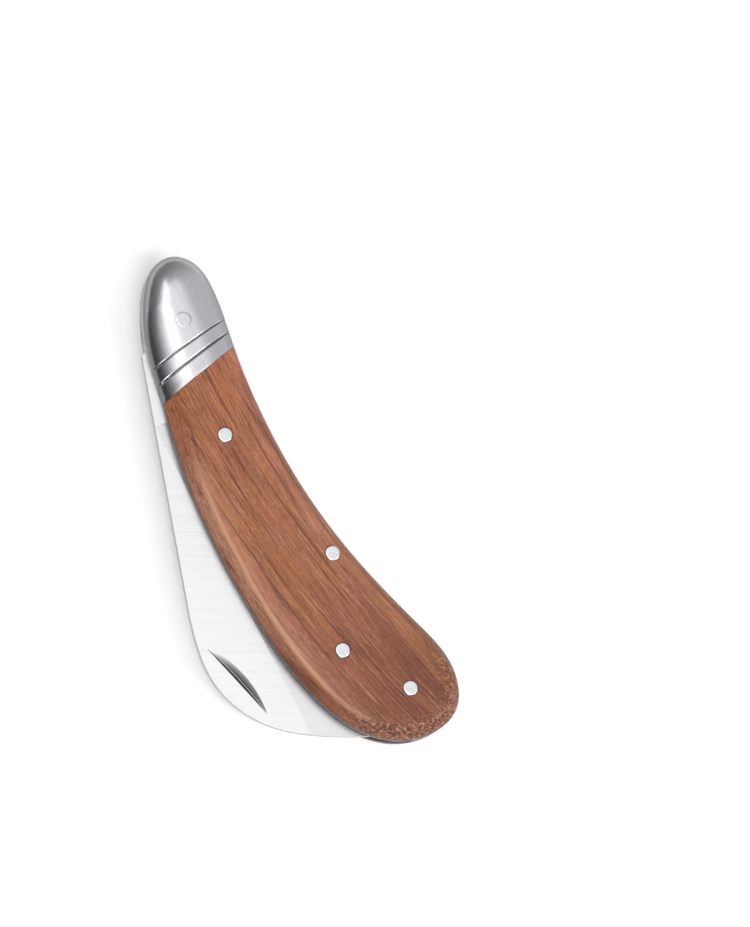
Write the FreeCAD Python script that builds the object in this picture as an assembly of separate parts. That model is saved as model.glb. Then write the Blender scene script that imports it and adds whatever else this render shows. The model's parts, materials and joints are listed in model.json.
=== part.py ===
"""Folding grafting knife, closed, lying on its side.

Frame: X runs towards the bolster end, Y towards the side that the blade opens from, Z up through
the thickness. The origin is the middle of the closed knife's footprint, on the surface it lies on.
Outlines are given from the pivot's centre and moved to the frame by at().
"""
import FreeCAD
import Part
import math
import os

# Pivot centre in the frame, which puts the origin in the middle of the closed knife's footprint.
PIVOT_X = 39.67
PIVOT_Y = -6.43

# The layers of the sandwich, from the middle out.
CHANNEL_T = 2.0
LINER_T = 1.0
COVER_T = 4.0
KNIFE_T = CHANNEL_T + 2 * LINER_T + 2 * COVER_T
MID_Z = KNIFE_T / 2
LINER_Z = MID_Z + CHANNEL_T / 2
COVER_Z = LINER_Z + LINER_T

# Handle outline, shared by the liners and covers: nose, belly, butt, back.
HANDLE_OUTLINE = [
    (12.8, -2.6), (11.5, 0.8), (8.0, 3.9), (1.8, 7.2), (-10.9, 10.4), (-26.0, 13.5),
    (-43.0, 15.0), (-60.5, 14.5), (-75.1, 12.0), (-86.4, 6.4), (-92.0, -3.2), (-90.4, -11.2),
    (-83.0, -14.6), (-72.8, -12.8), (-55.0, -7.9), (-36.0, -5.4), (-21.0, -5.6), (-8.8, -7.1),
    (3.0, -8.9), (9.9, -7.8), (12.2, -5.5),
]
SCALE_ROUNDING = 2.6

# The seam between bolster and scale leans. Each groove in the bolster is given by its distance
# ahead of the seam and by how much less it leans.
SEAM_X = -10.2
SEAM_LEAN = -0.213
GROOVES = [(3.1, 0.025), (5.9, 0.060)]
GROOVE_WIDTH = 0.6
GROOVE_DEPTH = 0.35

# The bolster's dome, an egg lying along X: round across, and falling to the nose.
DOME_R = 20.0
DOME_HALF_LENGTH = 36.0
DOME_CENTRE = (-8.0, -0.6)

# Pins. The scale pins are short and stop at the liner, clear of the blade.
PIVOT_R = 1.5
PIN_R = 1.45
SPRING_CENTRE_PIN = (-53.0, -3.85)
SPRING_END_PIN = (-82.7, -4.6)
SCALE_PIN_FRONT = (-23.4, 3.6)
SCALE_PIN_REAR = (-70.3, 3.5)

# Backspring: its front end is the open stop, its inner edge carries the tang.
SPRING_END_X = 1.55
SPRING_FACE_Y = -4.7
SPRING_FLAT_X = -9.0
SPRING_INNER = [(-9.0, -4.7), (-22.0, -2.8), (-38.0, -2.3), (-53.0, -1.3), (-66.0, -4.2),
                (-76.0, -3.9), (-83.0, -1.6), (-96.0, -1.4)]

# Blade, closed.
BLADE_T = 1.8
BLADE_HOLE_R = PIVOT_R + 0.05
TANG_R = 4.6
SHOULDER_X = -1.6
SHOULDER_Y = 8.8
SHOULDER_CORNER = (-2.1, 9.5)
SPINE_STRAIGHT_END = (-50.0, 25.2)
SPINE_CURVE = [(-56.5, 26.9), (-63.0, 27.5), (-69.5, 26.1), (-75.6, 22.4), (-81.3, 15.8),
               (-85.8, 8.1)]
TIP = (-88.6, 2.2)
HEEL = (-16.4, 0.2)
CHOIL_MID = (-12.6, -1.5)
KICK_BACK = (-9.4, -2.5)
KICK_FRONT = (-7.4, -TANG_R)

# Grind: flat bevels from the grind line down to a thin edge, starting at the plunge.
GRIND_WIDTH = 13.6
EDGE_T = 0.2
PLUNGE_X = -16.0

# Nail nick, cut by a big disc: its flat side leaves the wall, its coned rim leaves the slope.
NICK_START = (-57.2, 25.6)
NICK_END = (-74.2, 21.2)
NICK_DEPTH = 0.6
NICK_WALL_DEG = 42.0
NICK_SLOPE_DEG = 27.0

UP = FreeCAD.Vector(0, 0, 1)


def at(point, z=0.0):
    """A point of the knife, given from the pivot, in the part's frame."""
    return FreeCAD.Vector(PIVOT_X + point[0], PIVOT_Y + point[1], z)


def line(start, end):
    return Part.LineSegment(at(start), at(end)).toShape()


def arc(start, middle, end):
    return Part.Arc(at(start), at(middle), at(end)).toShape()


def smooth(points, first_tangent=None):
    """A smooth curve through the points, which may set off along a given direction."""
    curve = Part.BSplineCurve()
    vectors = [at(p) for p in points]
    if first_tangent:
        last_tangent = vectors[-1] - vectors[-2]
        curve.interpolate(Points=vectors, InitialTangent=first_tangent, FinalTangent=last_tangent)
    else:
        curve.interpolate(Points=vectors)
    return curve.toShape()


def closed_outline(points):
    curve = Part.BSplineCurve()
    curve.interpolate(Points=[at(p) for p in points], PeriodicFlag=True)
    return Part.Wire([curve.toShape()])


def slab(wire, low, high):
    """The area inside a flat wire, standing from one height to another."""
    face = Part.Face(wire)
    face.translate(UP * low)
    return face.extrude(UP * (high - low))


def polygon(points):
    closed = list(points) + [points[0]]
    return Part.makePolygon([at(p) for p in closed])


def pin(centre, radius, low, high):
    return Part.makeCylinder(radius, high - low, at(centre, low), UP)


def seam_x(y, ahead=0.0, less_lean=0.0):
    return SEAM_X + ahead + (SEAM_LEAN + less_lean) * y


def side_of_seam(towards_nose):
    """A big block on one side of the leaning seam."""
    far = 60.0 if towards_nose else -120.0
    reach = 40.0
    corners = [(seam_x(-reach), -reach), (seam_x(reach), reach), (far, reach), (far, -reach)]
    return slab(polygon(corners), 0.0, KNIFE_T)


def dome(inset=0.0):
    """The egg whose top is the bolster's dome."""
    centre = at(DOME_CENTRE, KNIFE_T - DOME_R)
    along_x = FreeCAD.Vector(1, 0, 0)
    profile = Part.Ellipse(centre, DOME_HALF_LENGTH - inset, DOME_R - inset)
    half = Part.ArcOfEllipse(profile, 0.0, math.pi).toShape()
    axis = Part.LineSegment(half.Vertexes[1].Point, half.Vertexes[0].Point).toShape()
    return Part.Face(Part.Wire([half, axis])).revolve(centre, along_x, 360)


def groove(ahead, less_lean, core):
    """A shallow channel over the dome, nearly along the seam's direction."""
    reach = 20.0
    behind = ahead - GROOVE_WIDTH / 2
    before = ahead + GROOVE_WIDTH / 2
    corners = [(seam_x(-reach, behind, less_lean), -reach), (seam_x(reach, behind, less_lean), reach),
               (seam_x(reach, before, less_lean), reach), (seam_x(-reach, before, less_lean), -reach)]
    return slab(polygon(corners), COVER_Z, KNIFE_T + 1.0).cut(core)


def liner():
    plate = slab(closed_outline(HANDLE_OUTLINE), LINER_Z, COVER_Z)
    holes = [pin((0, 0), PIVOT_R, LINER_Z, COVER_Z)]
    for centre in (SPRING_CENTRE_PIN, SPRING_END_PIN, SCALE_PIN_FRONT, SCALE_PIN_REAR):
        holes.append(pin(centre, PIN_R, LINER_Z, COVER_Z))
    return plate.cut(holes)


def scale():
    plate = slab(closed_outline(HANDLE_OUTLINE), COVER_Z, KNIFE_T)
    top_edges = [e for e in plate.Edges if e.BoundBox.ZMin > KNIFE_T - 0.01]
    rounded_plate = plate.makeFillet(SCALE_ROUNDING, top_edges)
    wood = rounded_plate.common(side_of_seam(towards_nose=False))
    holes = []
    for centre in (SPRING_CENTRE_PIN, SPRING_END_PIN, SCALE_PIN_FRONT, SCALE_PIN_REAR):
        holes.append(pin(centre, PIN_R, COVER_Z, KNIFE_T))
    return wood.cut(holes)


def bolster():
    raised = slab(closed_outline(HANDLE_OUTLINE), COVER_Z, KNIFE_T + 1.0)
    metal = raised.common(side_of_seam(towards_nose=True)).common(dome())
    core = dome(GROOVE_DEPTH)
    cuts = [groove(ahead, less_lean, core) for ahead, less_lean in GROOVES]
    cuts.append(pin((0, 0), PIVOT_R, COVER_Z, KNIFE_T))
    return metal.cut(cuts)


def backspring():
    """The bar along the back of the channel, cut to the handle's outline on its outer side."""
    band = slab(closed_outline(HANDLE_OUTLINE), LINER_Z - CHANNEL_T, LINER_Z)
    far = -30.0
    last = SPRING_INNER[-1]
    edges = [
        line((SPRING_END_X, far), (SPRING_END_X, SPRING_FACE_Y)),
        line((SPRING_END_X, SPRING_FACE_Y), (SPRING_FLAT_X, SPRING_FACE_Y)),
        smooth(SPRING_INNER, first_tangent=FreeCAD.Vector(-1, 0, 0)),
        line(last, (last[0], far)),
        line((last[0], far), (SPRING_END_X, far)),
    ]
    bar = band.common(slab(Part.Wire(edges), 0.0, KNIFE_T))
    holes = [pin(c, PIN_R, 0.0, KNIFE_T) for c in (SPRING_CENTRE_PIN, SPRING_END_PIN)]
    return bar.cut(holes)


def blade_outline():
    spine_way = at(SPINE_STRAIGHT_END) - at(SHOULDER_CORNER)
    spine = smooth([SPINE_STRAIGHT_END] + SPINE_CURVE + [TIP], first_tangent=spine_way)
    edges = [
        arc((0.0, -TANG_R), (TANG_R, 0.0), (0.0, TANG_R)),
        line((0.0, TANG_R), (SHOULDER_X, TANG_R)),
        line((SHOULDER_X, TANG_R), (SHOULDER_X, SHOULDER_Y)),
        line((SHOULDER_X, SHOULDER_Y), SHOULDER_CORNER),
        line(SHOULDER_CORNER, SPINE_STRAIGHT_END),
        spine,
        line(TIP, HEEL),
        arc(HEEL, CHOIL_MID, KICK_BACK),
        line(KICK_BACK, KICK_FRONT),
        line(KICK_FRONT, (0.0, -TANG_R)),
    ]
    return Part.Wire(edges)


def grind_cutter():
    """A wedge over the blade's upper face, from the grind line past the edge."""
    along = at(TIP) - at(HEEL)
    along.normalize()
    across = FreeCAD.Vector(along.y, -along.x, 0)
    fall = (BLADE_T - EDGE_T) / 2 / GRIND_WIDTH
    past = 6.0
    face_z = MID_Z + BLADE_T / 2
    length = 90.0
    start = FreeCAD.Vector(PIVOT_X + PLUNGE_X, PIVOT_Y + HEEL[1], face_z)
    corners = [
        start + across * GRIND_WIDTH,
        start - across * past - UP * fall * (GRIND_WIDTH + past),
        start - across * past + UP,
        start + across * GRIND_WIDTH + UP,
    ]
    return Part.Face(Part.makePolygon(corners + [corners[0]])).extrude(along * length)


def nick_cutter():
    """The disc that leaves a straight wall by the spine and a curved slope towards the edge."""
    face_z = MID_Z + BLADE_T / 2
    start = at(NICK_START, face_z)
    end = at(NICK_END, face_z)
    chord = end - start
    half = chord.Length / 2
    chord.normalize()
    inward = FreeCAD.Vector(-chord.y, chord.x, 0)
    lean = math.radians(NICK_WALL_DEG)
    dip = NICK_DEPTH / math.sin(lean)
    radius = (half ** 2 + dip ** 2) / (2 * dip)
    wall_up = UP * math.sin(lean) - inward * math.cos(lean)
    axis = inward * math.sin(lean) + UP * math.cos(lean)
    centre = (start + end) * 0.5 + wall_up * (radius - dip)
    thickness = 5.0
    coning = math.radians(90.0 - NICK_WALL_DEG - NICK_SLOPE_DEG)
    return Part.makeCone(radius, radius + thickness * math.tan(coning), thickness, centre, axis)


def blade():
    body = slab(blade_outline(), MID_Z - BLADE_T / 2, MID_Z + BLADE_T / 2)
    upper = grind_cutter()
    lower = upper.mirror(FreeCAD.Vector(0, 0, MID_Z), UP)
    hole = pin((0, 0), BLADE_HOLE_R, 0.0, KNIFE_T)
    return body.cut([upper, lower, hole, nick_cutter()])


def other_side(shape):
    """The same piece on the underside of the knife."""
    return shape.mirror(FreeCAD.Vector(0, 0, MID_Z), UP)


def knife():
    nodes = {
        "blade": blade(),
        "backspring": backspring(),
        "pivot_pin": pin((0, 0), PIVOT_R, 0.0, KNIFE_T).common(dome_pair()),
        "spring_centre_pin": pin(SPRING_CENTRE_PIN, PIN_R, 0.0, KNIFE_T),
        "spring_end_pin": pin(SPRING_END_PIN, PIN_R, 0.0, KNIFE_T),
    }
    upper = {
        "liner": liner(),
        "bolster": bolster(),
        "scale": scale(),
        "scale_pin_front": pin(SCALE_PIN_FRONT, PIN_R, LINER_Z, KNIFE_T),
        "scale_pin_rear": pin(SCALE_PIN_REAR, PIN_R, LINER_Z, KNIFE_T),
    }
    for name, shape in upper.items():
        nodes[name + "_top"] = shape
        nodes[name + "_bottom"] = other_side(shape)
    return nodes


def dome_pair():
    """The space under both bolsters' domes, which the pivot pin's ends are ground to."""
    upper = dome()
    return upper.common(other_side(upper))


def write(nodes):
    os.makedirs("parts", exist_ok=True)
    whole = FreeCAD.BoundBox()
    for name, shape in nodes.items():
        solids = shape.Solids
        solid = solids[0]
        print(name, "solids", len(solids), "valid", solid.isValid(), "volume", round(solid.Volume, 2))
        solid.exportStep("parts/" + name + ".step")
        whole.add(solid.optimalBoundingBox())
    print("box", whole)


write(knife())
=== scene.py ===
import json
import math
from collections import namedtuple

import bmesh
import bpy
import numpy as np
from mathutils import Matrix, Vector
from mathutils.bvhtree import BVHTree


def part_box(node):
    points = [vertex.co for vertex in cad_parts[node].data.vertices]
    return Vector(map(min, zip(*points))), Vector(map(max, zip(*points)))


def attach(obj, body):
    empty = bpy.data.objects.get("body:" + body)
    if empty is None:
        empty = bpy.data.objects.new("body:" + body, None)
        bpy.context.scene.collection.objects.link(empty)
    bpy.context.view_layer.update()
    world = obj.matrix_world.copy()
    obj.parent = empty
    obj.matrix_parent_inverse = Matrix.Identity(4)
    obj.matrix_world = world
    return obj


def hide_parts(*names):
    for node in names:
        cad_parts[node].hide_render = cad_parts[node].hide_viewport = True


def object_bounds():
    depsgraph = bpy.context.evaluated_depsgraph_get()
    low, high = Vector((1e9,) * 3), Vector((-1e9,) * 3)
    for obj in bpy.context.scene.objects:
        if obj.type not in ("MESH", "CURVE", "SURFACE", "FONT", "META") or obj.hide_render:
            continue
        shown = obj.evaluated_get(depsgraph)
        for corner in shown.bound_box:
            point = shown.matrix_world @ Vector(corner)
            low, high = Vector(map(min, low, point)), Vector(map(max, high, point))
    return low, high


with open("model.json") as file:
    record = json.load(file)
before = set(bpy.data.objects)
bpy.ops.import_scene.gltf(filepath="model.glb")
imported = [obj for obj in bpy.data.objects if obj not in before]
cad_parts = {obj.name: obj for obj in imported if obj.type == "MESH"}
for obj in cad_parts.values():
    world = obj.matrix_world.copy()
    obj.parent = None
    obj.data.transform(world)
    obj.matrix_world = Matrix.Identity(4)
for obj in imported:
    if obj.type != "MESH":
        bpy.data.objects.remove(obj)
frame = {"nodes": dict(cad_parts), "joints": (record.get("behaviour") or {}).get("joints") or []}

for leftover in ("Cube", "Light", "Camera"):
    if leftover in bpy.data.objects:
        bpy.data.objects.remove(bpy.data.objects[leftover])

DESIGN_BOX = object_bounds()
MM = 0.001
PIVOT = Vector(frame["joints"][0]["pos_m"])

# The seam between bolster and scale leans across the handle. Stations along the handle are
# counted from it towards the nose, so that a station line runs parallel to the seam.
SEAM_X = PIVOT.x - 10.2 * MM
SEAM_LEAN = -0.213

# ---------------------------------------------------------------- outlines


def boundary_loops(mesh, height):
    """The closed loops round a plate's flat face at one height, longest first."""
    plate = bmesh.new()
    plate.from_mesh(mesh)
    bmesh.ops.remove_doubles(plate, verts=plate.verts, dist=1e-7)
    plate.verts.ensure_lookup_table()
    face_edges = {}
    for face in plate.faces:
        if all(abs(v.co.z - height) < 1e-6 for v in face.verts):
            for edge in face.edges:
                face_edges[edge.index] = face_edges.get(edge.index, 0) + 1
    plate.edges.ensure_lookup_table()
    rim = {i for i, count in face_edges.items() if count == 1}
    neighbours = {}
    for i in rim:
        a, b = (v.index for v in plate.edges[i].verts)
        neighbours.setdefault(a, []).append(b)
        neighbours.setdefault(b, []).append(a)
    loops = []
    unvisited = set(neighbours)
    while unvisited:
        first = min(unvisited)
        loop, before, here = [first], None, first
        while True:
            unvisited.discard(here)
            onward = [n for n in neighbours[here] if n != before]
            before, here = here, onward[0]
            if here == first:
                break
            loop.append(here)
        loops.append(np.array([plate.verts[i].co[:2] for i in loop]))
    plate.free()
    return sorted(loops, key=lambda p: -np.abs(np.diff(p, axis=0)).sum())


class Outline:
    """A smooth closed curve through the points of a polygon, turned anticlockwise."""

    def __init__(self, points):
        x, y = points.T
        area = 0.5 * np.sum(x * np.roll(y, -1) - y * np.roll(x, -1))
        if area < 0:
            points = points[::-1]
        self.points = points
        steps = np.linalg.norm(np.roll(points, -1, axis=0) - points, axis=1)
        self.length = steps.sum()
        self.knots = np.concatenate([[0.0], np.cumsum(steps)])
        self.slopes = self.spline_slopes(steps)

    def spline_slopes(self, steps):
        """First derivatives of the periodic cubic spline at the points."""
        count = len(steps)
        system = np.zeros((count, count))
        right = np.zeros((count, 2))
        ahead = np.roll(self.points, -1, axis=0)
        behind = np.roll(self.points, 1, axis=0)
        before = np.roll(steps, 1)
        for i in range(count):
            system[i, i - 1] = 1 / before[i]
            system[i, i] = 2 / before[i] + 2 / steps[i]
            system[i, (i + 1) % count] = 1 / steps[i]
            right[i] = 3 * (self.points[i] - behind[i]) / before[i] ** 2
            right[i] += 3 * (ahead[i] - self.points[i]) / steps[i] ** 2
        return np.linalg.solve(system, right)

    def at(self, s):
        """Places and unit outward normals at distances s along the curve."""
        s = np.asarray(s) % self.length
        i = np.clip(np.searchsorted(self.knots, s, side="right") - 1, 0, len(self.points) - 1)
        step = self.knots[i + 1] - self.knots[i]
        t = ((s - self.knots[i]) / step)[:, None]
        step = step[:, None]
        j = (i + 1) % len(self.points)
        p, q = self.points[i], self.points[j]
        u, v = self.slopes[i] * step, self.slopes[j] * step
        place = (2 * t**3 - 3 * t**2 + 1) * p + (t**3 - 2 * t**2 + t) * u
        place = place + (3 * t**2 - 2 * t**3) * q + (t**3 - t**2) * v
        way = (6 * t**2 - 6 * t) * (p - q) + (3 * t**2 - 4 * t + 1) * u + (3 * t**2 - 2 * t) * v
        way = way / np.linalg.norm(way, axis=1)[:, None]
        return place, np.column_stack([way[:, 1], -way[:, 0]])


def station(points):
    """Distance ahead of the seam, towards the nose, measured along X."""
    return points[..., 0] - (SEAM_X + SEAM_LEAN * (points[..., 1] - PIVOT.y))


LINER_TOP_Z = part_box("liner_top")[1].z
HANDLE = Outline(boundary_loops(frame["nodes"]["liner_top"].data, LINER_TOP_Z)[0])

# Where the handle's middle line ends: rows fan round these stations at the nose and the butt.
NOSE_FAN = 15.5 * MM
BUTT_FAN = -71.0 * MM


def smoothstep(low, high, value):
    """Rises smoothly from 0 at low to 1 at high."""
    t = np.clip((value - low) / (high - low), 0.0, 1.0)
    return t * t * (3 - 2 * t)


def walk_outline(steps=6000):
    """Distances of a dense walk along the outline, and the stations it passes."""
    s = np.linspace(0, HANDLE.length, steps, endpoint=False)
    points, _ = HANDLE.at(s)
    return s, station(points)


def row_ends(stations, fan_step):
    """Distances along the outline for a ring of rows, and the station each one aims for.

    The ring runs anticlockwise: belly side from nose to butt, round the butt, back side from
    butt to nose, round the nose.
    """
    s, passed = walk_outline()
    nose = int(np.argmax(passed))
    s = np.roll(s, -nose)
    s = np.where(s < s[0], s + HANDLE.length, s)
    passed = np.roll(passed, -nose)
    butt = int(np.argmin(passed))
    belly = np.interp(-stations, -passed[:butt], s[:butt])
    back = np.interp(stations, passed[butt:], s[butt:])
    butt_count = int((back[-1] - belly[-1]) / fan_step)
    nose_count = int((HANDLE.length - (back[0] - belly[0])) / fan_step)
    butt_fan = np.linspace(belly[-1], back[-1], butt_count + 2)[1:-1]
    nose_fan = np.linspace(back[0], belly[0] + HANDLE.length, nose_count + 2)[1:-1]
    ends = np.concatenate([belly, butt_fan, back[::-1], nose_fan])
    aims = np.concatenate([stations, np.full(butt_count, stations[-1]), stations[::-1],
                           np.full(nose_count, stations[0])])
    return ends, aims


class Rows:
    """Rows from the outline to the handle's middle line, as a ring of straight segments."""

    def __init__(self, stations, fan_step):
        ends, aims = row_ends(stations, fan_step)
        self.rim, self.normal = HANDLE.at(ends)
        count = len(stations)
        belly = self.rim[:count]
        butt_count = int(np.sum(aims == stations[-1])) - 2
        back = self.rim[count + butt_count:2 * count + butt_count][::-1]
        middle = (belly + back) / 2
        self.axis = np.column_stack([np.interp(-aims, -stations, middle[:, 0]),
                                     np.interp(-aims, -stations, middle[:, 1])])
        inward = self.axis - self.rim
        self.reach = np.linalg.norm(inward, axis=1)
        self.inward = inward / self.reach[:, None]
        self.slant = -np.sum(self.inward * self.normal, axis=1)

    def ring(self, inset):
        """The rim moved in along the rows until it is this far from the outline."""
        along = inset / self.slant
        return self.rim + self.inward * along[:, None], along / self.reach

    def inner_ring(self, inset, share):
        """A ring part of the way from an inset ring to the middle line."""
        start = inset / self.slant
        along = start + (self.reach - start) * share
        return self.rim + self.inward * along[:, None], along / self.reach


# ---------------------------------------------------------------- the handle's upper surface

COVER_BASE = LINER_TOP_Z
KNIFE_TOP = DESIGN_BOX[1].z
KNIFE_MIDDLE = KNIFE_TOP / 2

# The scale: a low wall, a flank that slopes in to a soft arris, and a nearly flat top.
SCALE_WALL = 0.75 * MM
FLANK_IN = 2.75 * MM
FLANK_POWER = 1.6
ARRIS_WIDTH = 0.5 * MM
CROWN = 0.12 * MM

# The bolster: a low wall and a dome that is round across the handle and down to the nose.
BOLSTER_WALL = 0.25 * MM
DOME_POWER = 2.2
DOME_EASE = 0.60
DOME_SINK = 0.05 * MM
# Behind the seam the wood follows the dome, and turns into flank and flat over this length.
BLEND_LENGTH = 20.0 * MM

# The bolster's two cross lines, by their station at the pivot's height. They lean less than the
# seam. The metal behind the front one is sunk, and rises again to the seam.
CrossLine = namedtuple("CrossLine", "place half_width depth less_lean")
REAR_LINE = CrossLine(3.1 * MM, 0.36 * MM, 0.36 * MM, 0.025)
FRONT_LINE = CrossLine(5.9 * MM, 0.30 * MM, 0.24 * MM, 0.060)
CROSS_LINES = (REAR_LINE, FRONT_LINE)
LINE_POWER = 1.3
BAND_SINK = 0.12 * MM


def flank_height(inset):
    """The scale's height this far in from the outline, without its crown."""
    rise = KNIFE_TOP - COVER_BASE - SCALE_WALL - CROWN
    away = np.clip(1 - inset / FLANK_IN, 0.0, 1.0)
    return COVER_BASE + SCALE_WALL + rise * (1 - away**FLANK_POWER) ** (1 / FLANK_POWER)


def dome_height(share):
    """The bolster's height this share of the way from the outline to the middle line."""
    rise = KNIFE_TOP - DOME_SINK - COVER_BASE - BOLSTER_WALL
    away = np.clip(1 - share, 0.0, 1.0)
    return COVER_BASE + BOLSTER_WALL + rise * (1 - away**DOME_POWER) ** DOME_EASE


def scale_height(points, inset, share):
    """The wood's height: the dome's at the seam, and flank and flat further back."""
    flat = flank_height(inset) + CROWN * np.sin(np.clip(share, 0, 1) * math.pi / 2)
    behind = -station(points)
    mix = smoothstep(0.0, BLEND_LENGTH, behind)
    return dome_height(share) * (1 - mix) + flat * mix


def across_line(points, line):
    """Distance ahead of a cross line, and how deep in it, from 0 at its edges to 1."""
    ahead = station(points) - line.place - line.less_lean * (points[:, 1] - PIVOT.y)
    return ahead, np.clip(1 - np.abs(ahead) / line.half_width, 0.0, 1.0)


def line_fade(share):
    """The cross lines run out before they reach the edge."""
    return smoothstep(0.01, 0.15, share)


def bolster_height(points, inset, share):
    """The dome's height, with the sunk band and the cross lines."""
    height = dome_height(share)
    ahead, _ = across_line(points, FRONT_LINE)
    height = height - BAND_SINK * (1 - smoothstep(-0.1 * MM, 0.25 * MM, ahead))
    height = height + BAND_SINK * (1 - smoothstep(0.2 * MM, 2.0 * MM, station(points)))
    for line in CROSS_LINES:
        _, inside = across_line(points, line)
        height = height - line.depth * inside**LINE_POWER * line_fade(share)
    return height


# Marks are numbers from 0 to 1 on a cover's surface, which its material reads. They rise or fade
# over these stretches: across the handle from the pivot, and along it behind the seam.
BELLY_RISE = (2 * MM, 6 * MM)
WORN_FADE = (38 * MM, 60 * MM)
ARRIS_FADE = (56 * MM, 76 * MM)
END_GRAIN_RISE = (66 * MM, 76 * MM)
# How strong the arris's wear and painted highlight stay on the back side and at the butt.
BACK_WEAR_AND_SHEEN = 0.25
BUTT_WEAR_AND_SHEEN = 0.4


def belly_side(points):
    """1 on the belly side of the handle and 0 on the back side."""
    return smoothstep(*BELLY_RISE, points[:, 1] - PIVOT.y)


def arris_wear_and_sheen(points, inset, share):
    """The worn corner where the flank meets the top, with a painted highlight along it, palest on
    the belly side.
    """
    wear = math.exp(-((inset - FLANK_IN + ARRIS_WIDTH) / ARRIS_WIDTH) ** 2)
    wear = wear * (BACK_WEAR_AND_SHEEN + (1 - BACK_WEAR_AND_SHEEN) * belly_side(points))
    behind = -station(points)
    wear = wear * (1 - (1 - BUTT_WEAR_AND_SHEEN) * smoothstep(*ARRIS_FADE, behind))
    return wear * smoothstep(BLEND_LENGTH * 0.35, BLEND_LENGTH, behind)


def flank_side(inset):
    """1 on the flank and 0 on the top, whichever side of the handle it is."""
    return 1 - smoothstep(FLANK_IN - 2.2 * ARRIS_WIDTH, FLANK_IN - 0.8 * ARRIS_WIDTH, inset)


def worn_mark(points, inset, share):
    """The belly flank towards the front, which the hand has worn pale."""
    behind = -station(points)
    stretch = smoothstep(0.3 * BLEND_LENGTH, BLEND_LENGTH, behind)
    stretch = stretch * (1 - smoothstep(*WORN_FADE, behind))
    return flank_side(inset) * belly_side(points) * stretch


def flank_shade_mark(points, inset, share):
    """The rest of the flank below the arris, painted darker as shade."""
    side = flank_side(inset) * smoothstep(0.0, BLEND_LENGTH, -station(points))
    return side * (1 - worn_mark(points, inset, share))


def foot_shade_mark(points, inset, share):
    """The foot of the flank against the liner, painted dark as shade."""
    return 1 - smoothstep(0.0, 0.30 * MM, inset)


def butt_mark(points, inset, share):
    """End grain on the flank round the butt."""
    side = 1 - smoothstep(FLANK_IN - ARRIS_WIDTH, FLANK_IN + ARRIS_WIDTH, inset)
    return side * smoothstep(*END_GRAIN_RISE, -station(points))


def line_shade_mark(points, inset, share):
    """The two cross lines, whose bottoms are painted dark as shade."""
    inside = [across_line(points, line)[1] for line in CROSS_LINES]
    return np.maximum(*inside) * line_fade(share)


def low_edge_shade_mark(points, inset, share):
    """The dome's low edge, painted dark as shade."""
    return 1 - smoothstep(0.03, 0.24, share)


# ---------------------------------------------------------------- mesh building

SEAM_GAP = 0.06 * MM
SEAM_BEVEL = 0.12 * MM


def link(name, mesh):
    """Puts a mesh in the scene as a new object."""
    piece = bpy.data.objects.new(name, mesh)
    bpy.context.scene.collection.objects.link(piece)
    return piece


def bridge(made, lower, upper):
    """Joins two rings of equally many points with faces."""
    count = len(lower)
    for i in range(count):
        j = (i + 1) % count
        made.faces.new((lower[i], lower[j], upper[j], upper[i]))


def shade(piece, angle_deg):
    """Smooth shading, with edges sharper than an angle kept crisp."""
    mesh = piece.data
    mesh.polygons.foreach_set("use_smooth", [True] * len(mesh.polygons))
    mesh.set_sharp_from_angle(angle=math.radians(angle_deg))


def keep_flat(piece):
    """Shades a blade's broad faces flat up to their edges, and marks its upright sides, which its
    material makes darker.
    """
    mesh = piece.data
    side = mesh.attributes.new("side", "FLOAT", "FACE")
    for face in mesh.polygons:
        side.data[face.index].value = float(abs(face.normal.z) < 0.5)
        if abs(face.normal.z) > 0.95:
            for loop in face.loop_indices:
                mesh.edges[mesh.loops[loop].edge_index].use_edge_sharp = True


def settle(piece):
    """Turns a piece's modifiers into plain mesh."""
    depsgraph = bpy.context.evaluated_depsgraph_get()
    mesh = bpy.data.meshes.new_from_object(piece.evaluated_get(depsgraph))
    piece.modifiers.clear()
    piece.data = mesh


def cover(name, rows, height, marks, insets, shares, keep_nose):
    """A solid handle cover with a modelled upper surface, cut off at the seam."""
    made = bmesh.new()
    layers = {mark: made.verts.layers.float.new(label) for label, mark in marks.items()}

    def add_ring(points, inset, share, z):
        ring = [made.verts.new((p[0], p[1], h)) for p, h in zip(points, z)]
        for mark, layer in layers.items():
            for vert, value in zip(ring, mark(points, inset, share) * np.ones(len(ring))):
                vert[layer] = value
        return ring

    base = add_ring(rows.rim, 0.0, np.zeros(len(rows.rim)), np.full(len(rows.rim), COVER_BASE))
    rings = [base]
    for inset in insets:
        points, share = rows.ring(inset)
        rings.append(add_ring(points, inset, share, height(points, inset, share)))
    for step in shares:
        points, share = rows.inner_ring(insets[-1], step)
        inset = insets[-1] + step * MM
        rings.append(add_ring(points, inset, share, height(points, insets[-1], share)))
    for lower, upper in zip(rings, rings[1:]):
        bridge(made, lower, upper)
    made.faces.new(base[::-1])
    close_middle(made, rings[-1])
    bmesh.ops.remove_doubles(made, verts=made.verts, dist=2e-6)
    cut_at_seam(made, keep_nose)
    bmesh.ops.recalc_face_normals(made, faces=made.faces)
    mesh = bpy.data.meshes.new(name)
    made.to_mesh(mesh)
    made.free()
    return link(name, mesh)


def close_middle(made, ring):
    """Closes what is left open along the middle line, where the two banks of rows meet."""
    edges = [made.edges.get((a, b)) for a, b in zip(ring, ring[1:] + ring[:1])]
    bmesh.ops.holes_fill(made, edges=[e for e in edges if e], sides=0)


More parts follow.
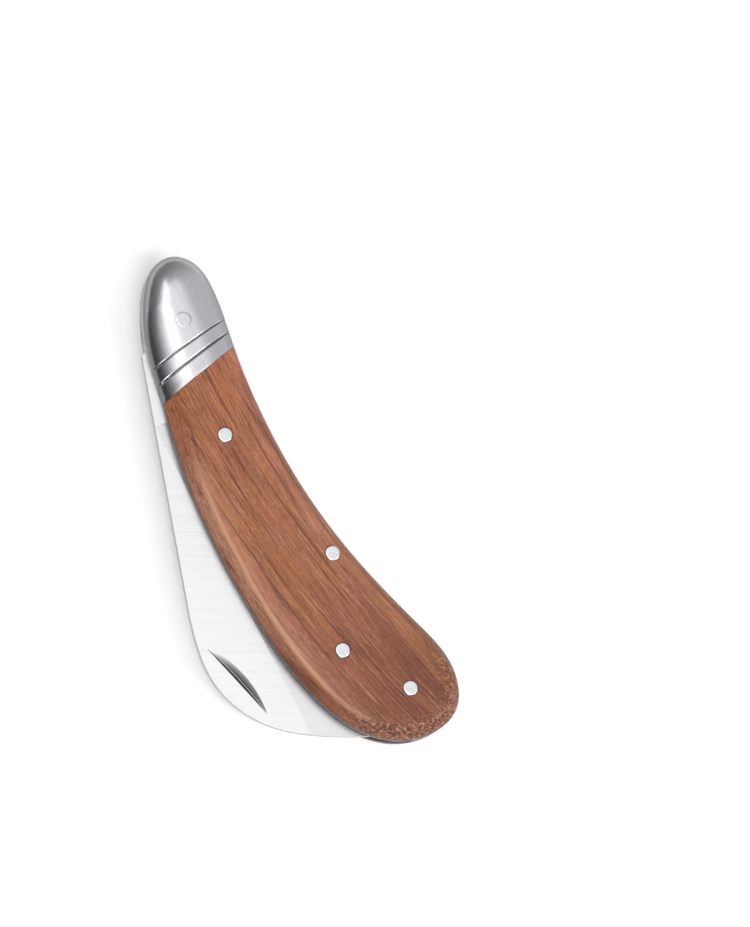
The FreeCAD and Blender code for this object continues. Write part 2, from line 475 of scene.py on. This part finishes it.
def cut_at_seam(made, keep_nose):
    """Cuts a cover at its side of the seam, and breaks the new corner."""
    direction = Vector((1.0, -SEAM_LEAN, 0.0)).normalized()
    gap = SEAM_GAP / 2 if keep_nose else -SEAM_GAP / 2
    through = Vector((SEAM_X + gap, PIVOT.y, 0.0))
    geometry = made.verts[:] + made.edges[:] + made.faces[:]
    cut = bmesh.ops.bisect_plane(made, geom=geometry, dist=1e-7, plane_co=through,
                                 plane_no=direction, clear_outer=not keep_nose,
                                 clear_inner=keep_nose)
    edges = [g for g in cut["geom_cut"] if isinstance(g, bmesh.types.BMEdge)]
    bmesh.ops.edgenet_fill(made, edges=edges)
    corner = [e for e in edges if max(v.co.z for v in e.verts) > COVER_BASE + 1e-5]
    bmesh.ops.bevel(made, geom=corner, offset=SEAM_BEVEL, segments=2, profile=0.5,
                    affect="EDGES", clamp_overlap=True)


def turned_over(piece, name):
    """A mirrored copy of a piece for the knife's lower side."""
    mesh = piece.data.copy()
    mesh.name = name
    count = len(mesh.vertices)
    places = np.empty(count * 3)
    mesh.vertices.foreach_get("co", places)
    places[2::3] = 2 * KNIFE_MIDDLE - places[2::3]
    mesh.vertices.foreach_set("co", places)
    mesh.flip_normals()
    return link(name, mesh)


def drill(piece, centres, radius):
    """Cuts round holes along Z through a piece."""
    cutter = bmesh.new()
    for centre in centres:
        made = bmesh.ops.create_cone(cutter, cap_ends=True, segments=96, radius1=radius,
                                     radius2=radius, depth=4 * KNIFE_TOP)
        bmesh.ops.translate(cutter, verts=made["verts"], vec=(centre[0], centre[1], KNIFE_MIDDLE))
    mesh = bpy.data.meshes.new("cutter")
    cutter.to_mesh(mesh)
    cutter.free()
    tool = link("cutter", mesh)
    cut = piece.modifiers.new("holes", "BOOLEAN")
    cut.operation = "DIFFERENCE"
    cut.solver = "EXACT"
    cut.object = tool
    settle(piece)
    bpy.data.objects.remove(tool)


def from_frame(node, name, corner, least_deg=40, smooth_deg=28):
    """A copy of a frame node with clean faces, and with corners over least_deg broken."""
    made = bmesh.new()
    made.from_mesh(frame["nodes"][node].data)
    bmesh.ops.remove_doubles(made, verts=made.verts, dist=1e-7)
    bmesh.ops.dissolve_limit(made, angle_limit=math.radians(0.2), verts=made.verts,
                             edges=made.edges)
    mesh = bpy.data.meshes.new(name)
    made.to_mesh(mesh)
    made.free()
    piece = link(name, mesh)
    bevel = piece.modifiers.new("corners", "BEVEL")
    bevel.width = corner
    bevel.segments = 2
    bevel.limit_method = "ANGLE"
    bevel.angle_limit = math.radians(least_deg)
    bevel.use_clamp_overlap = True
    settle(piece)
    shade(piece, smooth_deg)
    return piece


# ---------------------------------------------------------------- materials


class Shader:
    """A material's node tree, with short calls to add and join nodes."""

    def __init__(self, name):
        self.material = bpy.data.materials.new(name)
        self.material.use_nodes = True
        self.tree = self.material.node_tree
        self.surface = self.tree.nodes["Principled BSDF"]

    def add(self, kind, **settings):
        node = self.tree.nodes.new(kind)
        for key, value in settings.items():
            setattr(node, key, value)
        return node

    def join(self, out, into):
        """Links an output socket to an input socket."""
        self.tree.links.new(out, into)

    def coordinates(self):
        """Object coordinates in millimetres."""
        where = self.add("ShaderNodeTexCoord")
        return self.vector("SCALE", where.outputs["Object"], 1 / MM)

    def vector(self, operation, a, b):
        node = self.add("ShaderNodeVectorMath", operation=operation)
        self.join(a, node.inputs[0])
        if operation == "SCALE":
            node.inputs["Scale"].default_value = b
        else:
            node.inputs[1].default_value = b
        return node.outputs["Vector"]

    def turned(self, angle_deg):
        """Millimetres along and across a direction that is turned about Z from X."""
        node = self.add("ShaderNodeVectorRotate", rotation_type="Z_AXIS")
        self.join(self.coordinates(), node.inputs["Vector"])
        node.inputs["Angle"].default_value = -math.radians(angle_deg)
        return node.outputs["Vector"]

    def mark(self, label):
        """A mark that the mesh carries."""
        return self.add("ShaderNodeAttribute", attribute_name=label).outputs["Fac"]

    def noise(self, where, cells, detail=3.0, roughness=0.5, distortion=0.0):
        """Noise with a number of cells per millimetre along X, Y and Z of the given vector."""
        node = self.add("ShaderNodeTexNoise")
        self.join(self.vector("MULTIPLY", where, cells), node.inputs["Vector"])
        node.inputs["Scale"].default_value = 1.0
        node.inputs["Detail"].default_value = detail
        node.inputs["Roughness"].default_value = roughness
        node.inputs["Distortion"].default_value = distortion
        return node.outputs["Fac"]

    def remap(self, value, low, high, to_low=0.0, to_high=1.0):
        node = self.add("ShaderNodeMapRange", clamp=True)
        self.join(value, node.inputs["Value"])
        for key, number in (("From Min", low), ("From Max", high),
                            ("To Min", to_low), ("To Max", to_high)):
            node.inputs[key].default_value = number
        return node.outputs["Result"]

    def math(self, operation, a, b):
        node = self.add("ShaderNodeMath", operation=operation)
        for socket, value in zip(node.inputs, (a, b)):
            if isinstance(value, (int, float)):
                socket.default_value = value
            else:
                self.join(value, socket)
        return node.outputs["Value"]

    def mix(self, factor, a, b):
        node = self.add("ShaderNodeMix", data_type="RGBA", blend_type="MIX")
        self.join(factor, node.inputs["Factor"])
        for socket, value in ((node.inputs[6], a), (node.inputs[7], b)):
            if isinstance(value, tuple):
                socket.default_value = (*value, 1.0)
            else:
                self.join(value, socket)
        return node.outputs[2]

    def bump(self, height, distance, strength=1.0):
        node = self.add("ShaderNodeBump")
        node.inputs["Distance"].default_value = distance
        node.inputs["Strength"].default_value = strength
        self.join(height, node.inputs["Height"])
        self.join(node.outputs["Normal"], self.surface.inputs["Normal"])


# Rosewood: its two ground colours, its dark and pale figure, its darker butt, and a painted shade
# for its flank.
WOOD_TAN = (0.430, 0.155, 0.056)
WOOD_MID = (0.460, 0.164, 0.086)
WOOD_RED = (0.085, 0.017, 0.006)
# The pore colour also serves as painted shade at the flank's foot.
WOOD_PORE_AND_SHADE = (0.030, 0.008, 0.004)
WOOD_PALE = (0.600, 0.325, 0.215)
BUTT_DARK = (0.150, 0.040, 0.020)
FLANK_SHADE = (0.170, 0.050, 0.014)
# The grain bows towards the back, by GRAIN_BEND times the square of the millimetres along X from
# GRAIN_MIDDLE.
GRAIN_BEND = 0.00213
GRAIN_MIDDLE = 20.0
# Between these places along X, in millimetres, the wood darkens towards the butt.
BUTT_TINT = (-2.0, -44.0)
BUTT_SHADE = (-22.0, -46.0)


def rosewood():
    """Oiled rosewood. Its grain follows the handle, and it darkens towards the butt."""
    s = Shader("rosewood")
    place = s.add("ShaderNodeSeparateXYZ")
    s.join(s.coordinates(), place.inputs[0])
    back = s.math("SUBTRACT", place.outputs["X"], GRAIN_MIDDLE)
    bent = s.math("MULTIPLY", s.math("MULTIPLY", back, back), GRAIN_BEND)
    grain = s.add("ShaderNodeCombineXYZ")
    s.join(place.outputs["X"], grain.inputs[0])
    s.join(s.math("ADD", place.outputs["Y"], bent), grain.inputs[1])
    s.join(place.outputs["Z"], grain.inputs[2])
    grain = grain.outputs[0]

    broad = s.remap(s.noise(grain, (0.018, 0.15, 0.15), 2.0, 0.5, 0.9), 0.40, 0.62)
    cloud = s.remap(s.noise(grain, (0.050, 0.28, 0.28), 3.0, 0.6, 0.7), 0.48, 0.70)
    streak = s.remap(s.noise(grain, (0.030, 1.4, 1.4), 3.0, 0.6, 0.9), 0.55, 0.64)
    fine = s.remap(s.noise(grain, (0.13, 4.2, 4.2), 4.0, 0.65), 0.46, 0.70)
    pale = s.remap(s.noise(grain, (0.09, 3.0, 3.0), 3.0, 0.6, 0.3), 0.54, 0.72)
    hair = s.remap(s.noise(grain, (1.1, 4.4, 4.4), 3.0, 0.7), 0.34, 0.66)
    pore = s.remap(s.noise(grain, (0.45, 5.0, 5.0), 1.0, 0.5), 0.66, 0.76)
    butt = s.remap(place.outputs["X"], *BUTT_TINT)

    base = s.mix(broad, WOOD_TAN, WOOD_MID)
    base = s.mix(s.math("MULTIPLY", s.math("MULTIPLY", butt, broad), 0.70), base, BUTT_DARK)
    base = s.mix(s.math("MULTIPLY", cloud, 0.46), base, WOOD_RED)
    base = s.mix(s.remap(place.outputs["X"], *BUTT_SHADE, 0.0, 0.26), base, WOOD_RED)
    # Painted shade: the flank is darkened as if it turned away from the light.
    base = s.mix(s.math("MULTIPLY", s.mark("flank"), 0.36), base, FLANK_SHADE)
    base = s.mix(s.math("MULTIPLY", s.mark("worn"), 0.55), base, WOOD_PALE)
    base = s.mix(s.math("MULTIPLY", streak, 0.66), base, WOOD_RED)
    base = s.mix(s.math("MULTIPLY", pale, 0.70), base, WOOD_PALE)
    base = s.mix(s.math("MULTIPLY", fine, 0.56), base, WOOD_RED)
    base = s.mix(s.math("MULTIPLY", hair, 0.46), base, WOOD_RED)
    base = s.mix(s.math("MULTIPLY", pore, 0.60), base, WOOD_PORE_AND_SHADE)
    # Wear and painted highlight: the arris is paled with the pale figure's colour.
    base = s.mix(s.math("MULTIPLY", s.mark("arris"), 0.72), base, WOOD_PALE)
    # Painted shade: the foot of the flank is darkened with the pore colour.
    base = s.mix(s.math("MULTIPLY", s.mark("foot"), 0.40), base, WOOD_PORE_AND_SHADE)
    pits = s.noise(grain, (1.9, 1.9, 1.9), 3.0, 0.7)
    butt_end = s.mark("end_grain")
    dark_pits = s.math("MULTIPLY", s.remap(pits, 0.50, 0.62), butt_end)
    pale_pits = s.math("MULTIPLY", s.remap(pits, 0.46, 0.36), butt_end)
    base = s.mix(s.math("MULTIPLY", dark_pits, 0.75), base, WOOD_PORE_AND_SHADE)
    base = s.mix(s.math("MULTIPLY", pale_pits, 0.45), base, WOOD_PALE)
    s.join(base, s.surface.inputs["Base Color"])

    s.join(s.math("ADD", s.math("MULTIPLY", hair, 0.14), 0.40), s.surface.inputs["Roughness"])
    relief = s.math("SUBTRACT", s.math("MULTIPLY", hair, 0.35), pore)
    relief = s.math("SUBTRACT", relief, s.math("MULTIPLY", dark_pits, 2.0))
    s.bump(relief, 0.06 * MM, 0.8)
    s.surface.inputs["Specular IOR Level"].default_value = 0.35
    return s.material


# The dark that the steel's marks mix in: painted shade at the bolster, the liners and the nail
# nick, the nick's ground finish, and the blade's darker sides.
DARK_STEEL_AND_SHADE = (0.03, 0.03, 0.032)
STEEL_LINE_DEPTH = 0.004 * MM


def steel(name, color, roughness, turn, cells, spread=0.10, dark=()):
    """Steel with fine lines along a direction turned about Z.

    cells is how many cells per millimetre the lines have along and across; dark lists marks, the
    mark values where the steel starts to be darker and is darkest, and how much darker.
    """
    s = Shader(name)
    along, across = cells
    where = s.turned(turn)
    fine = s.noise(where, (along, across, across), 3.0, 0.65)
    broad = s.noise(where, (along * 0.5, across * 0.25, across * 0.25), 2.0, 0.5)
    both = s.math("ADD", s.math("MULTIPLY", fine, 0.7), s.math("MULTIPLY", broad, 0.3))
    tone = s.remap(both, 0.35, 0.65)
    base = s.mix(tone, tuple(c * (1 - spread) for c in color), color)
    for label, start, full, amount in dark:
        tint = s.remap(s.mark(label), start, full, 0.0, amount)
        base = s.mix(tint, base, DARK_STEEL_AND_SHADE)
    s.join(base, s.surface.inputs["Base Color"])
    rough = s.remap(both, 0.3, 0.7, roughness + 0.05, roughness - 0.03)
    s.join(rough, s.surface.inputs["Roughness"])
    s.bump(fine, STEEL_LINE_DEPTH)
    s.surface.inputs["Metallic"].default_value = 1.0
    return s.material


# ---------------------------------------------------------------- pins

CROWN_POWER = 12.0
PIN_CROWN = 0.14 * MM
PIVOT_CROWN = 0.05 * MM


def pin_tree():
    """A ground pin: a turned bar whose ends are slightly crowned with a broken corner."""
    tree = bpy.data.node_groups.new("ground_pin", "GeometryNodeTree")
    interface = tree.interface
    interface.new_socket("Geometry", in_out="INPUT", socket_type="NodeSocketGeometry")
    sockets = {}
    for label, kind in (("Radius", "NodeSocketFloat"), ("Length", "NodeSocketFloat"),
                        ("Crown", "NodeSocketFloat"), ("Middle", "NodeSocketVector"),
                        ("Finish", "NodeSocketMaterial")):
        socket = interface.new_socket(label, in_out="INPUT", socket_type=kind)
        sockets[label] = socket.identifier
    interface.new_socket("Geometry", in_out="OUTPUT", socket_type="NodeSocketGeometry")
    nodes = tree.nodes
    join = tree.links.new
    given = nodes.new("NodeGroupInput")
    result = nodes.new("NodeGroupOutput")

    def calc(operation, a, b=None):
        """A math node on one or two numbers or sockets."""
        node = nodes.new("ShaderNodeMath")
        node.operation = operation
        for socket, value in zip(node.inputs, (a, b)):
            if value is None:
                continue
            if isinstance(value, (int, float)):
                socket.default_value = value
            else:
                join(value, socket)
        return node.outputs[0]

    bar = nodes.new("GeometryNodeMeshCylinder")
    bar.fill_type = "TRIANGLE_FAN"
    bar.inputs["Vertices"].default_value = 72
    bar.inputs["Side Segments"].default_value = 1
    bar.inputs["Fill Segments"].default_value = 24
    join(given.outputs["Radius"], bar.inputs["Radius"])
    join(given.outputs["Length"], bar.inputs["Depth"])
    place = nodes.new("GeometryNodeInputPosition")
    split = nodes.new("ShaderNodeSeparateXYZ")
    join(place.outputs[0], split.inputs[0])
    squares = [calc("POWER", split.outputs[axis], 2.0) for axis in (0, 1)]
    share = calc("DIVIDE", calc("SQRT", calc("ADD", *squares)), given.outputs["Radius"])
    fall = calc("MULTIPLY", calc("POWER", share, CROWN_POWER), given.outputs["Crown"])
    drop = calc("MULTIPLY", fall, calc("MULTIPLY", calc("SIGN", split.outputs[2]), -1.0))
    offset = nodes.new("ShaderNodeCombineXYZ")
    join(drop, offset.inputs[2])
    crown = nodes.new("GeometryNodeSetPosition")
    join(bar.outputs["Mesh"], crown.inputs["Geometry"])
    join(offset.outputs[0], crown.inputs["Offset"])
    point = nodes.new("GeometryNodePoints")
    join(given.outputs["Middle"], point.inputs["Position"])
    stand = nodes.new("GeometryNodeInstanceOnPoints")
    join(point.outputs[0], stand.inputs["Points"])
    join(crown.outputs["Geometry"], stand.inputs["Instance"])
    real = nodes.new("GeometryNodeRealizeInstances")
    join(stand.outputs["Instances"], real.inputs["Geometry"])
    finish = nodes.new("GeometryNodeSetMaterial")
    join(real.outputs["Geometry"], finish.inputs["Geometry"])
    join(given.outputs["Finish"], finish.inputs["Material"])
    join(finish.outputs["Geometry"], result.inputs[0])
    return tree, sockets


def pin_centre(node):
    """The middle of a pin in the frame."""
    low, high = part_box(node)
    return (low + high) / 2


def pin_radius(node):
    """The radius of a pin in the frame."""
    low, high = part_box(node)
    return (high.x - low.x) / 2


def make_pin(node, pattern, finish, crown, bottom, top):
    """A pin at its place in the frame, from one height to another."""
    tree, sockets = pattern
    centre = pin_centre(node)
    values = {"Radius": pin_radius(node), "Length": top - bottom, "Crown": crown,
              "Middle": (centre.x, centre.y, (top + bottom) / 2), "Finish": finish}
    piece = link(node + "_turned", bpy.data.meshes.new(node))
    modifier = piece.modifiers.new("pin", "NODES")
    modifier.node_group = tree
    for label, value in values.items():
        modifier[sockets[label]] = value
    settle(piece)
    shade(piece, 40)
    return piece


# ---------------------------------------------------------------- the knife

HOLE_PLAY = 0.07 * MM
FAN_STEP = 0.3 * MM


def finish_piece(piece, material, body, node):
    """Gives a piece its material and body, in place of a frame node."""
    piece.data.materials.clear()
    piece.data.materials.append(material)
    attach(piece, body)
    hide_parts(node)


def make_scales(wood):
    """The two wooden covers, drilled for their pins."""
    rows = Rows(np.linspace(NOSE_FAN, BUTT_FAN, 240), FAN_STEP)
    insets = FLANK_IN * (1 - np.cos(np.linspace(0.0, math.pi / 2, 18)))
    marks = {"arris": arris_wear_and_sheen, "flank": flank_shade_mark, "worn": worn_mark, "foot": foot_shade_mark,
             "end_grain": butt_mark}
    upper = cover("scale_upper", rows, scale_height, marks, insets, np.linspace(0, 1, 14)[1:],
                  False)
    pins = ("spring_centre_pin", "spring_end_pin", "scale_pin_front_top", "scale_pin_rear_top")
    drill(upper, [pin_centre(pin) for pin in pins], pin_radius(pins[0]) + HOLE_PLAY)
    lower = turned_over(upper, "scale_lower")
    for piece, node in ((upper, "scale_top"), (lower, "scale_bottom")):
        shade(piece, 32)
        finish_piece(piece, wood, "handle", node)


def make_bolsters(finish):
    """The two bolsters, with their rows closest at the cross lines. Returns their dome."""
    banks = ((NOSE_FAN, 7.4 * MM, 34), (7.3 * MM, 2.2 * MM, 120), (2.1 * MM, -0.8 * MM, 14),
             (-4.0 * MM, BUTT_FAN, 12))
    rows = Rows(np.concatenate([np.linspace(*bank) for bank in banks]), FAN_STEP)
    shares = 1 - np.cos(np.linspace(0.0, math.pi / 2, 34))
    # Both marks are painted shade, which the bolster's material darkens.
    marks = {"cross_line_shade": line_shade_mark, "low_edge_shade": low_edge_shade_mark}
    upper = cover("bolster_upper", rows, bolster_height, marks, np.array([0.0]), shares[1:], True)
    dome = BVHTree.FromObject(upper, bpy.context.evaluated_depsgraph_get())
    drill(upper, [pin_centre("pivot_pin")], pin_radius("pivot_pin") + HOLE_PLAY / 2)
    lower = turned_over(upper, "bolster_lower")
    for piece, node in ((upper, "bolster_top"), (lower, "bolster_bottom")):
        shade(piece, 32)
        finish_piece(piece, finish, "handle", node)
    return dome


def grind_flush(pin, dome):
    """Shapes a pin's two ends to the dome around them."""
    down = Vector((0, 0, -1))
    for vert in pin.data.vertices:
        hit = dome.ray_cast(Vector((vert.co.x, vert.co.y, 2 * KNIFE_TOP)), down)[0]
        reach = hit.z - KNIFE_MIDDLE
        vert.co.z = KNIFE_MIDDLE + (vert.co.z - KNIFE_MIDDLE) * reach / (KNIFE_TOP - KNIFE_MIDDLE)


def make_pins(pin_metal, pivot_steel, dome):
    """Two pins through the spring, two short ones in each cover, and the ground pivot."""
    pattern = pin_tree()
    channel_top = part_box("liner_top")[0].z
    spans = {"spring_centre_pin": (0.0, KNIFE_TOP), "spring_end_pin": (0.0, KNIFE_TOP)}
    for pin in ("scale_pin_front", "scale_pin_rear"):
        spans[pin + "_top"] = (channel_top, KNIFE_TOP)
        spans[pin + "_bottom"] = (0.0, KNIFE_TOP - channel_top)
    for node, (bottom, top) in spans.items():
        piece = make_pin(node, pattern, pin_metal, PIN_CROWN, bottom, top)
        finish_piece(piece, pin_metal, "handle", node)
    pivot = make_pin("pivot_pin", pattern, pivot_steel, PIVOT_CROWN, 0.0, KNIFE_TOP)
    grind_flush(pivot, dome)
    finish_piece(pivot, pivot_steel, "handle", "pivot_pin")


# The nail nick's two ends, from the pivot.
NICK_ENDS = ((-57.2 * MM, 25.6 * MM), (-74.2 * MM, 21.2 * MM))
NICK_WIDTH = 2.4 * MM
NICK_DEPTH = 0.6 * MM
# How dark the nick's wall and slope are at their rim: partly their ground finish, partly painted
# shade.
WALL_GRIND_AND_SHADE = 0.80
SLOPE_GRIND_AND_SHADE = 0.08


def mark_nick(blade):
    """Marks the nail nick's wall and slope, which are ground and painted dark as shade, most of
    all at the bottom.
    """
    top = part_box("blade")[1].z
    start, end = (Vector((PIVOT.x + x, PIVOT.y + y, 0.0)) for x, y in NICK_ENDS)
    chord = end - start
    length = chord.length
    chord.normalize()
    across = Vector((-chord.y, chord.x, 0.0))
    mark = blade.data.attributes.new("nick", "FLOAT", "CORNER")
    for face in blade.data.polygons:
        place = face.center - start
        inside = 0 < place.dot(chord) < length and abs(place.dot(across)) < NICK_WIDTH
        if not inside or not 0.2 < face.normal.z < 0.95:
            continue
        rim = WALL_GRIND_AND_SHADE if face.normal.dot(across) > 0 else SLOPE_GRIND_AND_SHADE
        for corner in face.loop_indices:
            height = blade.data.vertices[blade.data.loops[corner].vertex_index].co.z
            deep = min(1.0, (top - height) / NICK_DEPTH)
            mark.data[corner].value = rim + (1 - rim) * deep


def mark_liner_shade(plate):
    """Marks the plate behind the seam, where its edge is painted dark as shade between the wood
    and the blade.
    """
    places = np.array([vertex.co for vertex in plate.data.vertices])
    mark = plate.data.attributes.new("liner_shade", "FLOAT", "POINT")
    mark.data.foreach_set("value", smoothstep(-1 * MM, 4 * MM, -station(places)))


PLATE_CORNER = 0.06 * MM
BLADE_CORNER = 0.05 * MM


def make_plates(liner_steel, spring_steel, blade_steel):
    """The liners, the backspring and the blade. The blade's nick keeps its sharp rim."""
    for node in ("liner_top", "liner_bottom"):
        piece = from_frame(node, node + "_plate", PLATE_CORNER)
        mark_liner_shade(piece)
        finish_piece(piece, liner_steel, "handle", node)
    spring = from_frame("backspring", "backspring_bar", PLATE_CORNER)
    finish_piece(spring, spring_steel, "handle", "backspring")
    blade = from_frame("blade", "blade_forging", BLADE_CORNER, least_deg=60, smooth_deg=24)
    keep_flat(blade)
    mark_nick(blade)
    finish_piece(blade, blade_steel, "blade", "blade")


# ---------------------------------------------------------------- studio

VIEW_LEAN_Y = 15.0
VIEW_LEAN_X = -5.0
VIEW_TURN = -116.9
VIEW_DISTANCE = 741.7 * MM
VIEW_AIM = (-41.53 * MM, -19.62 * MM)
LENS = 150.0


def make_camera():
    """Looks down on the knife, leaning towards the belly side and a little towards the butt."""
    back = Vector((math.sin(math.radians(VIEW_LEAN_X)), math.sin(math.radians(VIEW_LEAN_Y)), 0.0))
    back.z = math.sqrt(1 - back.x**2 - back.y**2)
    turn = math.radians(VIEW_TURN)
    right = Vector((math.cos(turn), math.sin(turn), 0.0))
    right = (right - back * right.dot(back)).normalized()
    up = back.cross(right)
    aim = Vector((PIVOT.x + VIEW_AIM[0], PIVOT.y + VIEW_AIM[1], KNIFE_TOP))
    data = bpy.data.cameras.new("camera")
    data.lens = LENS
    data.clip_start = 0.01
    camera = bpy.data.objects.new("camera", data)
    bpy.context.scene.collection.objects.link(camera)
    turned = Matrix((right, up, back)).transposed()
    camera.matrix_world = Matrix.LocRotScale(aim + back * VIEW_DISTANCE, turned, None)
    bpy.context.scene.camera = camera


def soft_box(name, place, aim, size, radiance):
    """A rectangular light of an even radiance, facing a point."""
    data = bpy.data.lights.new(name, "AREA")
    data.shape = "RECTANGLE"
    data.size, data.size_y = size
    data.energy = radiance * math.pi * size[0] * size[1]
    light = bpy.data.objects.new(name, data)
    bpy.context.scene.collection.objects.link(light)
    light.location = place
    light.rotation_euler = (Vector(aim) - Vector(place)).to_track_quat("-Z", "Y").to_euler()


def make_floor():
    """A plain pale sheet, which glows a little so that the shadow stays faint."""
    made = bmesh.new()
    bmesh.ops.create_grid(made, x_segments=1, y_segments=1, size=4.0)
    mesh = bpy.data.meshes.new("floor")
    made.to_mesh(mesh)
    made.free()
    floor = link("floor", mesh)
    s = Shader("floor_paper")
    s.surface.inputs["Base Color"].default_value = (0.93, 0.93, 0.93, 1.0)
    s.surface.inputs["Emission Color"].default_value = (1.0, 1.0, 1.0, 1.0)
    s.surface.inputs["Emission Strength"].default_value = 0.16
    s.surface.inputs["Roughness"].default_value = 0.9
    s.surface.inputs["Specular IOR Level"].default_value = 0.1
    floor.data.materials.append(s.material)


ROOM_LEVEL = 0.72


def make_room():
    """A grey room, darker towards the belly side and the nose."""
    world = bpy.data.worlds.new("room")
    world.use_nodes = True
    tree = world.node_tree
    nodes = tree.nodes
    shell = nodes["Background"]
    where = nodes.new("ShaderNodeTexCoord")
    split = nodes.new("ShaderNodeSeparateXYZ")
    tree.links.new(where.outputs["Generated"], split.inputs[0])

    def fade(socket, start, end, low):
        node = nodes.new("ShaderNodeMapRange")
        node.inputs["From Min"].default_value = start
        node.inputs["From Max"].default_value = end
        node.inputs["To Min"].default_value = 1.0
        node.inputs["To Max"].default_value = low
        tree.links.new(socket, node.inputs["Value"])
        return node.outputs["Result"]

    both = nodes.new("ShaderNodeMath")
    both.operation = "MULTIPLY"
    tree.links.new(fade(split.outputs["Y"], 0.25, 0.80, 0.15), both.inputs[0])
    tree.links.new(fade(split.outputs["X"], 0.25, 0.90, 0.35), both.inputs[1])
    level = nodes.new("ShaderNodeMath")
    level.operation = "MULTIPLY"
    tree.links.new(both.outputs[0], level.inputs[0])
    level.inputs[1].default_value = ROOM_LEVEL
    tree.links.new(level.outputs[0], shell.inputs["Color"])
    bpy.context.scene.world = world


def make_lights():
    """A broad light and a narrow key straight down, and softer ones at the nose and butt."""
    middle = (0.0, 0.0, 0.0)
    soft_box("broad_overhead", (-0.05, -0.03, 1.02), (-0.05, -0.03, 0.0), (1.2, 1.0), 0.50)
    soft_box("key_overhead", (0.22, 0.13, 1.0), (0.22, 0.13, 0.0), (1.4, 0.26), 1.25)
    soft_box("nose_key", (0.45, 0.38, 0.90), middle, (0.5, 0.35), 0.35)
    soft_box("butt_fill_belly", (-0.9, 0.55, 0.75), middle, (0.6, 0.8), 4.6)
    soft_box("butt_fill_back", (-0.9, -0.55, 0.75), middle, (0.6, 0.8), 4.6)
    bpy.context.scene.view_settings.view_transform = "Standard"


make_camera()
make_floor()
make_room()
make_lights()
# The blade's nail nick is darkened, partly for its ground finish and partly as painted shade.
blade_finish = steel("blade_steel", (0.73, 0.725, 0.735), 0.32, 61.4, (0.06, 6.0), 0.08,
                     dark=[("nick", 0.0, 0.75, 0.80), ("side", 0.0, 1.0, 0.45)])
# Painted shade on the bolster: its cross lines and its low edge are darkened.
bolster_finish = steel("bolster_steel", (0.62, 0.608, 0.638), 0.23, 0.0, (0.10, 5.0), 0.10,
                       dark=[("cross_line_shade", 0.0, 1.0, 0.55), ("low_edge_shade", 0.0, 1.0, 0.72)])
# Painted shade: the liners darken behind the seam, where they lie in shadow between the wood and
# the blade.
liner_finish = steel("liner_steel", (0.42, 0.42, 0.43), 0.40, 0.0, (0.10, 5.0),
                     dark=[("liner_shade", 0.0, 1.0, 0.84)])
# Painted shade: the spring's steel is given a dark colour, since it shows only as a strip in
# shade along the handle's edge.
shaded_spring_finish = steel("spring_steel", (0.20, 0.19, 0.18), 0.42, 0.0, (0.10, 5.0))
pin_finish = steel("pin_aluminium", (0.68, 0.67, 0.69), 0.28, 30.0, (0.60, 2.0), 0.16)
make_scales(rosewood())
bolster_dome = make_bolsters(bolster_finish)
make_plates(liner_finish, shaded_spring_finish, blade_finish)
make_pins(pin_finish, bolster_finish, bolster_dome)
